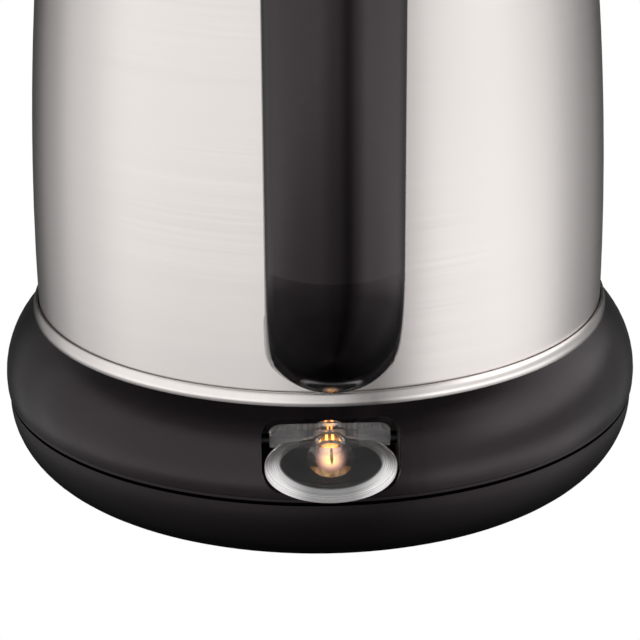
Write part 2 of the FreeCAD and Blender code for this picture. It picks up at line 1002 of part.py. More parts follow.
def switch_tray():
    """Lining of the switch pocket: side walls, a roof and a back wall with a window for the rocker."""
    half = size.pocket_width / 2
    roof = vessel_foot - size.tray_headroom
    floor = cover_top + size.fit
    outside = box(
        "tray_outside",
        (-half - size.tray_wall, -size.housing_foot_radius, floor),
        (half + size.tray_wall, -(tray_back() - size.tray_wall), vessel_foot),
    )
    inside = box(
        "tray_inside", (-half, -size.housing_foot_radius * 2, floor - 1), (half, -tray_back(), roof)
    )
    window_half = size.tail_width / 2 + size.clearance * 3
    window = box(
        "tray_window",
        (-window_half, -tray_back() - size.tray_wall, pivot_height - size.hub_radius),
        (window_half, -tray_back() + size.tray_wall * 2, roof),
    )
    pin_hole = cylinder(
        "tray_pin_hole",
        size.switch_pin_radius + size.pin_fit,
        size.pocket_width * 2,
        (-size.pocket_width, -pivot_radius, pivot_height),
        Vector(1, 0, 0),
    )
    hollow = cut("tray_hollow", outside, inside, window, pin_hole)
    tray = doc.addObject("Part::Common", "switch_tray")
    tray.Base = hollow
    tray.Tool = housing_core("tray_limit", size.clearance)
    return tray


def switch_pin():
    length = size.pocket_width + size.tray_wall * 2
    return cylinder(
        "switch_pin",
        size.switch_pin_radius,
        length,
        (-length / 2, -pivot_radius, pivot_height),
        Vector(1, 0, 0),
    )


def on_pivot(thing):
    """Moves a switch piece, drawn about its pivot with the paddle level, to its place and tilt when on."""
    place(thing, (0, -pivot_radius, pivot_height), Rotation(Vector(1, 0, 0), size.switch_tilt.number))
    bind(thing, "Placement.Rotation.Angle", size.switch_tilt)
    return thing


def switch_rocker():
    """The hub on the pin, a head that holds the paddle's sleeve and a tail to the contacts."""
    start = (-size.hub_width / 2, 0, 0)
    hub = cylinder("rocker_hub", size.hub_radius, size.hub_width, start, Vector(1, 0, 0))
    half = size.rocker_width / 2
    head_top = size.lamp_height + size.lamp_radius
    head = box("rocker_head", (-half, -size.sleeve_start, 0), (half, size.hub_radius, head_top))
    tail_half = size.tail_width / 2
    tail = box(
        "rocker_tail",
        (-tail_half, 0, -size.tail_thickness / 2),
        (tail_half, size.rocker_tail, size.tail_thickness / 2),
    )
    bore = cylinder(
        "rocker_bore",
        size.switch_pin_radius + size.pin_fit,
        size.hub_width * 2,
        (-size.hub_width, 0, 0),
        Vector(1, 0, 0),
    )
    return on_pivot(cut("switch_rocker", fuse("rocker_body", hub, head, tail), bore))


def paddle_section(shrink, height):
    """One level of the paddle's oval rim."""
    oval = doc.addObject("Part::Ellipse", "paddle_oval")
    bind(oval, "MajorRadius", size.paddle_width / 2 - shrink)
    bind(oval, "MinorRadius", size.paddle_depth / 2 - shrink)
    return place(oval, (0, -size.paddle_reach, height))


def switch_paddle():
    """A clear oval with a bevelled rim, a dimple for the light, a shield and a sleeve for the lamp."""
    top = size.paddle_rise + size.paddle_thickness
    oval = doc.addObject("Part::Loft", "paddle_disc")
    oval.Sections = [
        paddle_section(size.fit * 3, size.paddle_rise),
        paddle_section(0, size.paddle_rise + size.fit * 3),
        paddle_section(0, size.paddle_rise + size.paddle_edge),
        paddle_section(size.paddle_bevel, top),
    ]
    oval.Solid = True
    oval.Ruled = True
    shield = pad(
        "paddle_shield",
        "XZ_Plane",
        rounded_box(
            size.shield_width / 2,
            size.paddle_rise + size.fit * 3,
            top + size.shield_rise,
            size.shield_round,
            size.fit,
        ),
        size.shield_wall,
        size.shield_setback,
    )
    outward = Vector(0, -1, 0)
    sleeve_bore = size.lamp_radius + size.clearance
    sleeve_length = size.lamp_length + size.clearance
    sleeve_base = (0, -size.sleeve_start, size.lamp_height)
    sleeve = cylinder("paddle_sleeve", sleeve_bore + size.sleeve_wall, sleeve_length, sleeve_base, outward)
    bore = cylinder("paddle_bore", sleeve_bore, sleeve_length, sleeve_base, outward)
    dimple = doc.addObject("Part::Cone", "paddle_dimple")
    bind(dimple, "Radius1", size.dimple_floor)
    bind(dimple, "Radius2", size.dimple_radius)
    bind(dimple, "Height", size.dimple_depth)
    place(dimple, (0, -size.dimple_reach, top - size.dimple_depth))
    return on_pivot(cut("switch_paddle", fuse("paddle_body", oval, shield, sleeve), bore, dimple))


def lamp_form(label, radius, length):
    """A round-ended lamp envelope lying outwards from the rocker's head."""
    base = (0, -size.sleeve_start, size.lamp_height)
    tube = cylinder(label + "_tube", radius, length - radius, base, Vector(0, -1, 0))
    dome = doc.addObject("Part::Sphere", label + "_dome")
    bind(dome, "Radius", radius)
    place(dome, (0, -size.sleeve_start - length + radius, size.lamp_height))
    return fuse(label, tube, dome)


def lamp_bulb():
    outside = lamp_form("lamp_outside", size.lamp_radius, size.lamp_length)
    inside = lamp_form("lamp_inside", size.lamp_radius - size.lamp_wall, size.lamp_length - size.lamp_wall)
    return on_pivot(cut("lamp_bulb", outside, inside))


def lamp_electrodes():
    length = size.lamp_length - size.lamp_radius
    pair = [
        cylinder(
            "electrode",
            size.electrode_radius,
            length,
            (side, -size.sleeve_start, size.lamp_height),
            Vector(0, -1, 0),
        )
        for side in (-size.electrode_gap / 2, size.electrode_gap / 2)
    ]
    return on_pivot(group("lamp_electrodes", pair))


# Vessel, spout and top


def nose_outline(half_width, inner, reach, nose):
    """A beak seen from above: two flanks from the vessel's side, tangent to a round nose."""
    centre = reach - nose
    back = centre - inner
    span = half_width * half_width + back * back
    tangent = root(span - nose * nose)
    touch_x = (nose * nose * half_width + nose * tangent * back) / span
    touch_y = centre + (nose * tangent * half_width - nose * nose * back) / span
    return [
        (-half_width, inner),
        (half_width, inner),
        (touch_x, touch_y, reach - touch_y),
        (-touch_x, touch_y),
    ]


def spout_form(label, shrink):
    """The beak's outer form, or its inside when shrunk by the wall."""
    foot = vessel_rim - size.spout_drop
    inner = size.vessel_rim_radius - size.spout_nose
    foot_reach = worked(label + "_foot_reach", vessel_curve.out_at(foot) + size.spout_foot_proud - shrink)
    body = new_body(label)
    low = new_sketch(body, "XY_Plane", foot)
    foot_half_width = size.spout_foot_half_width - shrink
    draw(low, nose_outline(foot_half_width, inner, foot_reach, size.spout_foot_nose - shrink))
    high = new_sketch(body, "XY_Plane", vessel_rim + size.spout_rise)
    draw(
        high,
        nose_outline(size.spout_half_width - shrink, inner, spout_reach - shrink, size.spout_nose - shrink),
    )
    beak = body.newObject("PartDesign::AdditiveLoft", label + "_loft")
    beak.Profile = low
    beak.Sections = [high]
    beak.Ruled = True
    return body


def vessel_body():
    wall = revolve(
        "vessel_wall",
        [
            (size.vessel_foot_radius, vessel_foot, size.vessel_bulge),
            (size.vessel_rim_radius, vessel_rim),
            (size.vessel_rim_radius - size.vessel_wall, vessel_rim, -size.vessel_bulge),
            (size.vessel_foot_radius - size.vessel_wall, vessel_foot),
        ],
    )
    return cut("vessel_body", wall, spout_form("vessel_spout_opening", size.spout_wall))


def spout():
    shell = cut("spout_shell", spout_form("spout_outside", 0), spout_form("spout_inside", size.spout_wall))
    collar_room = cylinder(
        "spout_collar_room", collar_radius + size.fit, size.spout_rise * 2, (0, 0, vessel_rim)
    )
    return cut("spout", shell, vessel_solid("spout_vessel_room", 0), collar_room)


def filter_outline(low, high, setback, wall):
    """A strip just inside the vessel's wall, between two heights."""
    out_low = vessel_curve.out_at(low) - size.vessel_wall - size.clearance - setback
    out_high = vessel_curve.out_at(high) - size.vessel_wall - size.clearance - setback
    return [(out_low - wall, low), (out_low, low), (out_high, high), (out_high - wall, high)]


def to_front(thing):
    """Turns a piece that was drawn towards +X to the spout side."""
    thing.Placement = Placement(Vector(0, 0, 0), Rotation(Vector(0, 0, 1), 90))
    return thing


def filter_span():
    high = vessel_rim - size.collar_skirt - size.clearance
    return high - size.filter_height, high


def filter_frame():
    low, high = filter_span()
    panel = revolve("filter_panel", filter_outline(low, high, 0, size.filter_wall), angle=size.filter_angle)
    border_angle = size.filter_border / size.vessel_rim_radius * 2 * math.degrees(1)
    window = revolve(
        "filter_window",
        filter_outline(
            low + size.filter_border, high - size.filter_border, -size.clearance, size.filter_wall * 2
        ),
        angle=size.filter_angle - border_angle,
    )
    return to_front(cut("filter_frame", panel, window))


def filter_mesh():
    low, high = filter_span()
    border_angle = size.filter_border / size.vessel_rim_radius * 2 * math.degrees(1)
    setback = (size.filter_wall - size.mesh_wall) / 2
    return to_front(
        revolve(
            "filter_mesh",
            filter_outline(low + size.filter_border, high - size.filter_border, setback, size.mesh_wall),
            angle=size.filter_angle - border_angle,
        )
    )


def steam_tube():
    """A tube that leads steam from under the lid down to the control."""
    foot = spreader_bottom
    top = vessel_rim - size.steam_tube_headroom
    spot = (0, -steam_tube_offset, foot)
    outside = cylinder("steam_outside", size.steam_tube_radius, top - foot, spot)
    inside = cylinder("steam_inside", size.steam_tube_radius - size.steam_tube_wall, top - foot, spot)
    return cut("steam_tube", outside, inside)


def steam_tube_seal():
    spot = (0, -steam_tube_offset, floor_top)
    radius = size.steam_tube_radius + size.steam_seal_wall
    outside = cylinder("seal_outside", radius, size.steam_seal_height, spot)
    return cut("steam_tube_seal", outside, steam_tube_hole("seal_hole"))


def hinge_height():
    return collar_top + size.hinge_rise


def hinge_bar(label, radius, half_length):
    return cylinder(
        label, radius, half_length * 2, (-half_length, -hinge_offset, hinge_height()), Vector(1, 0, 0)
    )


def top_collar():
    """The moulded rim of the mouth, seated on the vessel, with two ears for the lid's pin."""
    skirt_radius = size.vessel_rim_radius - size.vessel_wall - size.clearance
    ring = revolve(
        "collar_ring",
        [
            (mouth_radius, vessel_rim - size.collar_skirt),
            (skirt_radius, vessel_rim - size.collar_skirt),
            (skirt_radius, vessel_rim),
            (collar_radius, vessel_rim),
            (collar_radius, collar_top - size.collar_round, size.collar_round * QUARTER_BULGE),
            (collar_radius - size.collar_round, collar_top),
            (mouth_radius, collar_top),
        ],
    )
    near = size.knuckle_width / 2 + size.ear_clearance
    ears = []
    for side in (-1, 1):
        middle = (near + size.ear_width / 2) * side
        low = middle - size.ear_width / 2
        foot = box(
            "ear_foot",
            (low, -hinge_offset - size.knuckle_radius, collar_top - size.collar_round * 2),
            (low + size.ear_width, -hinge_offset + size.knuckle_radius, hinge_height()),
        )
        crown = cylinder(
            "ear_crown",
            size.knuckle_radius,
            size.ear_width,
            (low, -hinge_offset, hinge_height()),
            Vector(1, 0, 0),
        )
        ears += [foot, crown]
    bore = hinge_bar("collar_pin_hole", size.hinge_pin_radius + size.pin_fit, near + size.ear_width * 2)
    return cut("top_collar", fuse("collar_whole", ring, *ears), bore)


def lid_pin():
    half = size.knuckle_width / 2 + size.ear_clearance + size.ear_width
    return hinge_bar("lid_pin", size.hinge_pin_radius, half)


# Lid


def lid_seat():
    """Height of the lid's flange above the collar."""
    return collar_top + size.clearance


def lid_skirt_radius():
    return mouth_radius - size.clearance - size.lid_wall / 2


def cap_seat():
    return lid_seat() + size.lid_flange + size.lid_rise - size.lid_cap_rise


def lid_shell():
    """A stepped dome with a skirt into the mouth, a finger tab in front and a hinge knuckle behind."""
    flange_top = lid_seat() + size.lid_flange
    skirt_foot = lid_seat() - size.lid_skirt_depth
    skirt = lid_skirt_radius()
    cap = lid_cap_radius + size.fit
    dome = revolve(
        "lid_dome",
        [
            (0, cap_seat() - size.lid_wall),
            (cap, cap_seat() - size.lid_wall),
            (skirt - size.lid_wall, lid_seat() - size.lid_wall),
            (skirt - size.lid_wall, skirt_foot),
            (skirt, skirt_foot),
            (skirt, lid_seat()),
            (lid_flange_radius, lid_seat()),
            (lid_flange_radius, flange_top, size.lid_bulge),
            (cap + size.lid_wall / 2, cap_seat() + size.lid_cap_wall),
            (cap, cap_seat() + size.lid_cap_wall),
            (cap, cap_seat()),
            (0, cap_seat()),
        ],
    )
    tab = cylinder(
        "lid_tab",
        size.lid_tab_radius,
        size.lid_tab_thickness,
        (0, mouth_radius + size.lid_tab_reach - size.lid_tab_radius - size.clearance, lid_seat()),
    )
    half = size.knuckle_width / 2
    arm = box(
        "lid_arm",
        (-half, -hinge_offset, flange_top - size.lid_flange / 2),
        (half, -lid_flange_radius + size.knuckle_radius, hinge_height() + size.knuckle_radius / 2),
    )
    knuckle = hinge_bar("lid_knuckle", size.knuckle_radius, half)
    bore = hinge_bar("lid_pin_hole", size.hinge_pin_radius + size.pin_fit, size.knuckle_width)
    holes = [
        screw_hole("lid_hole", seat, cap_seat() - lid_liner_top() - size.lid_wall / 2)
        for seat in lid_screw_seats()
    ]
    posts = [
        cylinder("lid_post", screw_boss_radius, cap_seat() - size.fit - lid_liner_top(), spot)
        for spot in around(SCREWS, 90, lid_screw_circle, lid_liner_top())
    ]
    return cut("lid_shell", fuse("lid_whole", dome, tab, arm, knuckle, *posts), bore, *holes)


def lid_liner_top():
    return lid_seat() - size.lid_skirt_depth + size.lid_liner_wall


def lid_screw_seats():
    return around(SCREWS, 90, lid_screw_circle, lid_liner_top() - size.lid_liner_wall)


def lid_cap_flat():
    """Radius of the cap's flat middle."""
    return lid_cap_radius - size.lid_cap_fall


def lid_cap():
    """A dished cap of sheet metal that lies in the lid's step: flat in the middle, falling to its rim."""
    top = cap_seat() + size.lid_cap_rise
    fall = size.lid_cap_rise - size.lid_cap_wall
    return revolve(
        "lid_cap",
        [
            (0, top - size.lid_cap_wall),
            (lid_cap_flat(), top - size.lid_cap_wall),
            (lid_cap_radius - size.lid_cap_rise, cap_seat() + size.lid_cap_wall / 4),
            (lid_cap_radius - size.lid_cap_rise, cap_seat()),
            (lid_cap_radius, cap_seat()),
            (lid_cap_radius, cap_seat() + size.lid_cap_wall, fall / 4),
            (lid_cap_flat(), top),
            (0, top),
        ],
    )


def lid_liner():
    radius = lid_skirt_radius() - size.lid_wall - size.fit
    disc = cylinder("liner_disc", radius, size.lid_liner_wall, (0, 0, lid_liner_top() - size.lid_liner_wall))
    holes = [screw_hole("liner_hole", seat, size.screw_length) for seat in lid_screw_seats()]
    return cut("lid_liner", disc, *holes)


def lid_seal():
    low = lid_seat() - size.lid_skirt_depth / 2 - size.lid_seal_height / 2
    return revolve(
        "lid_seal",
        [
            (lid_skirt_radius(), low),
            (mouth_radius - size.lid_seal_clearance, low + size.lid_seal_height / 4),
            (mouth_radius - size.lid_seal_clearance, low + size.lid_seal_height - size.lid_seal_height / 4),
            (lid_skirt_radius(), low + size.lid_seal_height),
        ],
    )


def lid_screws():
    length = cap_seat() - lid_liner_top() - size.lid_wall
    return group("lid_screws", [screw("lid_screw", seat, length) for seat in lid_screw_seats()])


# Handle


def handle_spine(sketch):
    """The handle's line: out from the vessel, down the grip and back in, with tangent bends."""
    top = vessel_rim - size.handle_top_drop
    foot = handle_foot_height
    lean = handle_foot_reach - handle_top_reach
    drop = foot - top
    grip = root(lean * lean + drop * drop)
    out_share = lean / grip
    up_share = drop / grip
    top_tangent = size.handle_top_bend * root((1 - out_share) / (1 + out_share))
    foot_tangent = size.handle_foot_bend * root((1 + out_share) / (1 - out_share))
    top_sag = 1 - root((1 + out_share) / 2)
    foot_sag = 1 - root((1 - out_share) / 2)
    draw(
        sketch,
        [
            (-handle_root, top),
            (-(handle_top_reach - top_tangent), top, size.handle_top_bend * top_sag),
            (-(handle_top_reach + out_share * top_tangent), top + up_share * top_tangent),
            (
                -(handle_foot_reach - out_share * foot_tangent),
                foot - up_share * foot_tangent,
                size.handle_foot_bend * foot_sag,
            ),
            (-(handle_foot_reach - foot_tangent), foot),
            (-handle_root, foot),
        ],
        closed=False,
    )


def grip_section(depth, rounding, side):
    """Half of the grip's section: a flat seam, round flanks and a crown tangent to both."""
    top = vessel_rim - size.handle_top_drop
    half = size.handle_width / 2
    seam = size.handle_seam
    flat = half - rounding
    rise = depth - seam
    crown = (flat * flat + rise * rise - rounding * rounding) / ((rise - rounding) * 2)
    out_share = flat / (crown - rounding)
    up_share = (crown - rise) / (crown - rounding)
    touch_out = flat + rounding * out_share
    touch_up = seam + rounding * up_share
    flank_bulge = rounding * (1 - root((1 + out_share) / 2))
    return [
        (-(half - seam) * side, top),
        ((half - seam) * side, top),
        (half * side, top + seam * side, flank_bulge),
        (touch_out * side, top + touch_up * side, depth - touch_up),
        (-touch_out * side, top + touch_up * side, flank_bulge),
        (-half * side, top + seam * side),
    ]


def handle_half(label, depth, rounding, side):
    """One half of the grip, swept along the handle's line, with boss holes; side is 1 for the outer half."""
    body = new_body(label)
    spine = new_sketch(body, "YZ_Plane")
    handle_spine(spine)
    section = new_sketch(body, "XZ_Plane", handle_root)
    draw(section, grip_section(depth, rounding, side))
    doc.recompute()
    sweep = body.newObject("PartDesign::AdditivePipe", label + "_sweep")
    sweep.Profile = section
    sweep.Spine = (spine, ["Edge%d" % (index + 1) for index in range(len(spine.Shape.Edges))])
    for height, end in boss_places():
        circle = new_sketch(body, "XZ_Plane", boss_root)
        draw_ring(circle, size.boss_radius + size.fit, height)
        hole = body.newObject("PartDesign::Pocket", label + "_boss_hole")
        hole.Profile = circle
        hole.Reversed = True
        bind(hole, "Length", end + size.fit - boss_root)
    return body


def boss_places():
    """Axes of the two bosses that carry the handle, as heights and distances of their outer ends."""
    top = vessel_rim - size.handle_top_drop
    foot = handle_foot_height
    return [
        (top, vessel_curve.out_at(top) + size.top_boss_length),
        (foot, vessel_curve.out_at(foot) + size.foot_boss_length),
    ]


def boss_bars(label):
    return [
        cylinder(label, size.boss_radius, end - boss_root, (0, -boss_root, height), Vector(0, -1, 0))
        for height, end in boss_places()
    ]


def handle_screw_seats():
    """Seats of the two screws, which come up into the bosses from below."""
    return [
        (0, -(end - size.screw_head_radius), height - size.boss_radius - size.screw_seat)
        for height, end in boss_places()
    ]


def handle_room(label):
    """What the handle's halves leave free: vessel, collar and screws."""
    collar_room = cylinder(
        label + "_collar", collar_radius + size.clearance, size.collar_height * 4, (0, 0, vessel_rim)
    )
    screws = [screw_hole(label + "_screw", seat, size.screw_length) for seat in handle_screw_seats()]
    deep = [
        cylinder(label + "_deep", screw_head_room, size.handle_crown, (x, y, z - size.handle_crown))
        for x, y, z in handle_screw_seats()
    ]
    return [vessel_solid(label + "_vessel", size.clearance), collar_room, *screws, *deep]


def handle_outer():
    grip = handle_half("grip_outer", size.handle_crown, size.handle_side_round, 1)
    return cut("handle_outer", grip, *handle_room("outer_room"))


def handle_inner():
    grip = handle_half("grip_inner", size.handle_back, size.handle_back_round, -1)
    return cut("handle_inner", grip, *handle_room("inner_room"))


def handle_bosses():
    bars = group("boss_pair", boss_bars("handle_boss"))
    holes = [screw_hole("boss_screw_hole", seat, size.screw_length) for seat in handle_screw_seats()]
    return cut("handle_bosses", bars, vessel_solid("boss_vessel_room", 0), *holes)


def handle_screws():
    screws = [screw("handle_screw", seat, size.screw_length) for seat in handle_screw_seats()]
    return group("handle_screws", screws)


SUB_PARTS = [
    power_base_shell,
    power_base_plate,
    base_feet,
    base_screws,
    base_connector,
    base_contacts,
    cord_gland,
    bottom_housing,
    bottom_cover,
    cover_screws,
    trim_ring,
    heater_plate,
    heat_spreader,
    heating_element,
    control_body,
    control_studs,
    bimetal_discs,
    socket_contacts,
    contact_block,
    switch_tray,
    switch_pin,
    switch_rocker,
    switch_paddle,
    lamp_bulb,
    lamp_electrodes,
    vessel_body,
    spout,
    filter_frame,
    filter_mesh,
    steam_tube,
    steam_tube_seal,
    top_collar,
    lid_pin,
    lid_shell,
    lid_cap,
    lid_liner,
    lid_seal,
    lid_screws,
    handle_outer,
    handle_inner,
    handle_bosses,
    handle_screws,
]


def check_document():
    """Stops if any object failed, or if a sub-part has no sound solid."""
    failed = [thing.Label for thing in doc.Objects if {"Invalid", "Error"} & set(thing.State)]
    if failed:
        raise RuntimeError("failed objects: %s" % ", ".join(failed))
    for thing in nodes:
        shape = thing.Shape
        if shape.isNull() or not shape.isValid() or not shape.Solids:
            raise RuntimeError("unsound sub-part: %s" % thing.Label)


def write_steps():
    os.makedirs("parts", exist_ok=True)
    for thing in nodes:
        thing.Shape.exportStep("parts/%s.step" % thing.Label)


for make in SUB_PARTS:
    node(make(), make.__name__)
doc.recompute()
check_document()
write_steps()
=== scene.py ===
import json
import math
import bpy
from mathutils import Matrix, Vector

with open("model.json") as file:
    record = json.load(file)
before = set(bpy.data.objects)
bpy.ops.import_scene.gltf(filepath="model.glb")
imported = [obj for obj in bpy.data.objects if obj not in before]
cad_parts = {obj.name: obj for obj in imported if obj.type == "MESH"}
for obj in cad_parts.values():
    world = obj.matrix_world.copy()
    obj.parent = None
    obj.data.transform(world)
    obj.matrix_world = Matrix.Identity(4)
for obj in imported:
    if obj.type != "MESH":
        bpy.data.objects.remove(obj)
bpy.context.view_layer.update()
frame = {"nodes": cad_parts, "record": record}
nodes = frame["nodes"]
scene = bpy.context.scene


# Sizes of the switch in metres, measured from its pivot along the tilted paddle

PIVOT_REACH = 0.0615
PIVOT_HEIGHT = 0.027
SWITCH_TILT = math.radians(30.0)
PADDLE_MIDDLE = 0.013
PADDLE_HALF_WIDTH = 0.0155
PADDLE_HALF_DEPTH = 0.0097
# Where the bevel begins, as a share of the paddle's oval
BEVEL_START = (0.76, 0.8)
# How far along the paddle its bevel gets dull, and how far along and to the side it gets a painted
# highlight
DULL_ALONG = (0.007, 0.012)
HIGHLIGHT_ALONG = (0.0105, 0.0165)
HIGHLIGHT_ACROSS = (0.004, 0.0115)
# The lamp's height above the pivot, the painted glow in the dimple, and the lamp's own glow round the
# electrodes
LAMP_HEIGHT = 0.0062
DIMPLE_PAINTED_GLOW_PLACE = 0.0106
DIMPLE_PAINTED_GLOW_RADIUS = 0.0036
LAMP_GLOW_PLACE = 0.0064
LAMP_GLOW_RADIUS = 0.002
# The dark wire painted into the dimple's painted glow: middle and half size
WIRE_ACROSS = (0.0003, 0.0005)
WIRE_ALONG = (0.0097, 0.0026)


# Shader helpers

def math_node(tree, operation, first, second=None):
    """One sum on numbers or sockets."""
    node = tree.nodes.new("ShaderNodeMath")
    node.operation = operation
    for index, value in enumerate((first, second)):
        if value is None:
            continue
        if isinstance(value, (int, float)):
            node.inputs[index].default_value = value
        else:
            tree.links.new(value, node.inputs[index])
    return node.outputs["Value"]


def product(tree, first, *others):
    """All values multiplied."""
    for other in others:
        first = math_node(tree, "MULTIPLY", first, other)
    return first


def range_node(tree, value, source, target, steps="SMOOTHSTEP"):
    """A value taken from one range of numbers to another, and held at its ends."""
    node = tree.nodes.new("ShaderNodeMapRange")
    node.interpolation_type = steps
    node.inputs["From Min"].default_value = source[0]
    node.inputs["From Max"].default_value = source[1]
    node.inputs["To Min"].default_value = target[0]
    node.inputs["To Max"].default_value = target[1]
    tree.links.new(value, node.inputs["Value"])
    return node.outputs["Result"]


def squares(tree, *terms):
    """Root of the sum of squares of (value, centre, half width) terms."""
    total = 0.0
    for value, centre, half in terms:
        part = math_node(tree, "DIVIDE", math_node(tree, "SUBTRACT", value, centre), half)
        total = math_node(tree, "ADD", product(tree, part, part), total)
    return math_node(tree, "SQRT", total)


def mixed(tree, factor, first, second):
    """The first shader where the factor is 0, the second where it is 1."""
    node = tree.nodes.new("ShaderNodeMixShader")
    tree.links.new(factor, node.inputs["Fac"])
    tree.links.new(first, node.inputs[1])
    tree.links.new(second, node.inputs[2])
    return node.outputs["Shader"]


def split_vector(tree, output):
    """The parts of one of the coordinates that Blender offers."""
    coords = tree.nodes.new("ShaderNodeTexCoord")
    split = tree.nodes.new("ShaderNodeSeparateXYZ")
    tree.links.new(coords.outputs[output], split.inputs["Vector"])
    return split.outputs["X"], split.outputs["Y"], split.outputs["Z"]


# Finishes

# The black pieces' reflections are a little warm
WARM = (1.0, 0.85, 0.91, 1.0)


def surface(name, colour, roughness, metallic=0.0, **sockets):
    """A plain finish: constant values on the shader's own sockets."""
    material = bpy.data.materials.new(name)
    material.use_nodes = True
    tree = material.node_tree
    shader = tree.nodes["Principled BSDF"]
    shader.inputs["Base Color"].default_value = (*colour, 1.0)
    shader.inputs["Roughness"].default_value = roughness
    shader.inputs["Metallic"].default_value = metallic
    for socket, value in sockets.items():
        shader.inputs[socket.replace("_", " ")].default_value = value
    return material, tree, shader


def grain(tree, shader, scale, roughness, bump=0.0):
    """Fine noise along the object's own axes that varies the roughness, and the height if bump is given."""
    coords = tree.nodes.new("ShaderNodeTexCoord")
    mapping = tree.nodes.new("ShaderNodeMapping")
    mapping.inputs["Scale"].default_value = scale
    noise = tree.nodes.new("ShaderNodeTexNoise")
    noise.inputs["Scale"].default_value = 1.0
    noise.inputs["Detail"].default_value = 3.0
    tree.links.new(coords.outputs["Object"], mapping.inputs["Vector"])
    tree.links.new(mapping.outputs["Vector"], noise.inputs["Vector"])
    spread = range_node(tree, noise.outputs["Fac"], (0.3, 0.7), roughness, "LINEAR")
    tree.links.new(spread, shader.inputs["Roughness"])
    if bump:
        relief = tree.nodes.new("ShaderNodeBump")
        relief.inputs["Strength"].default_value = bump
        relief.inputs["Distance"].default_value = 0.0002
        tree.links.new(noise.outputs["Fac"], relief.inputs["Height"])
        tree.links.new(relief.outputs["Normal"], shader.inputs["Normal"])


def brushed_steel():
    """Steel brushed round the vessel: fine level lines, and highlights drawn out up and down."""
    material, tree, shader = surface("brushed_steel", (0.845, 0.795, 0.77), 0.3, 1.0)
    shader.inputs["Anisotropic"].default_value = 0.75
    shader.inputs["Anisotropic Rotation"].default_value = 0.25
    tangent = tree.nodes.new("ShaderNodeTangent")
    tangent.direction_type = "RADIAL"
    tangent.axis = "Z"
    tree.links.new(tangent.outputs["Tangent"], shader.inputs["Tangent"])
    grain(tree, shader, (9.0, 9.0, 5200.0), (0.28, 0.34), bump=0.012)
    return material


def gloss_black():
    material, tree, shader = surface("gloss_black", (0.0035, 0.0026, 0.0028), 0.12, Specular_Tint=WARM)
    grain(tree, shader, (300.0,) * 3, (0.1, 0.14))
    return material


def housing_black():
    """The bottom housing's gloss, a little softer than the handle's."""
    material, tree, shader = surface("housing_black", (0.012, 0.0095, 0.0108), 0.2, Specular_Tint=WARM)
    shader.inputs["Specular IOR Level"].default_value = 0.42
    grain(tree, shader, (300.0,) * 3, (0.17, 0.23))
    return material


def satin_black():
    material, tree, shader = surface("satin_black", (0.0035, 0.0028, 0.003), 0.36, Specular_Tint=WARM)
    shader.inputs["Specular IOR Level"].default_value = 0.38
    grain(tree, shader, (2500.0,) * 3, (0.34, 0.44), bump=0.05)
    return material


def matt_plastic():
    material, tree, shader = surface("matt_plastic", (0.022, 0.021, 0.022), 0.5)
    grain(tree, shader, (1800.0,) * 3, (0.45, 0.6), bump=0.05)
    return material


def rubber():
    material, tree, shader = surface("rubber", (0.02, 0.02, 0.02), 0.75)
    grain(tree, shader, (1500.0,) * 3, (0.7, 0.85), bump=0.1)
    return material


def metal(name, colour, roughness):
    material, tree, shader = surface(name, colour, roughness[0], 1.0)
    grain(tree, shader, (500.0,) * 3, roughness)
    return material


def switch_axes(tree):
    """Places on the switch: across it, out from its pivot along the paddle, and above the pivot."""
    across, y, z = split_vector(tree, "Object")
    out = product(tree, math_node(tree, "ADD", y, PIVOT_REACH), -1.0)
    up = math_node(tree, "SUBTRACT", z, PIVOT_HEIGHT)
    cosine = math.cos(SWITCH_TILT)
    sine = math.sin(SWITCH_TILT)
    along = math_node(tree, "SUBTRACT", product(tree, out, cosine), product(tree, up, sine))
    above = math_node(tree, "ADD", product(tree, out, sine), product(tree, up, cosine))
    return across, along, above


def lamp_distance(tree, axes, place, radius):
    """Distance from a place on the lamp's line, in radii."""
    across, along, above = axes
    return squares(tree, (across, 0.0, radius), (along, place, radius), (above, LAMP_HEIGHT, radius))


def bevel_dulling(tree, across, along):
    """How dull the paddle's bevel is, from 0 to 1: most at its front, and in fine rings."""
    radius = squares(tree, (across, 0.0, PADDLE_HALF_WIDTH), (along, PADDLE_MIDDLE, PADDLE_HALF_DEPTH))
    rim = range_node(tree, radius, BEVEL_START, (0.0, 1.0))
    front = range_node(tree, along, DULL_ALONG, (0.38, 1.0))
    streaks = tree.nodes.new("ShaderNodeTexNoise")
    streaks.noise_dimensions = "1D"
    streaks.inputs["Scale"].default_value = 45.0
    streaks.inputs["Detail"].default_value = 2.0
    tree.links.new(radius, streaks.inputs["W"])
    rings = range_node(tree, streaks.outputs["Fac"], (0.35, 0.65), (0.55, 1.0))
    return product(tree, rim, front, rings)


def paint_dimple_glow(tree, shader, axes):
    """Painted light in the dimple: an amber emission, pale red at its border, with a dark wire painted
    across it, standing in for the lamp's light seen there.
    """
    across, along, _ = axes
    distance = lamp_distance(tree, axes, DIMPLE_PAINTED_GLOW_PLACE, DIMPLE_PAINTED_GLOW_RADIUS)
    colour = tree.nodes.new("ShaderNodeMix")
    colour.data_type = "RGBA"
    colour.inputs["A"].default_value = (1.0, 0.74, 0.28, 1.0)
    colour.inputs["B"].default_value = (0.8, 0.42, 0.34, 1.0)
    tree.links.new(range_node(tree, distance, (0.1, 0.9), (0.0, 1.0)), colour.inputs["Factor"])
    tree.links.new(colour.outputs["Result"], shader.inputs["Emission Color"])
    wire = squares(tree, (across, *WIRE_ACROSS), (along, *WIRE_ALONG))
    shade = range_node(tree, wire, (0.6, 1.0), (0.1, 1.0))
    glow = range_node(tree, distance, (0.1, 1.25), (0.85, 0.0))
    tree.links.new(product(tree, glow, shade), shader.inputs["Emission Strength"])


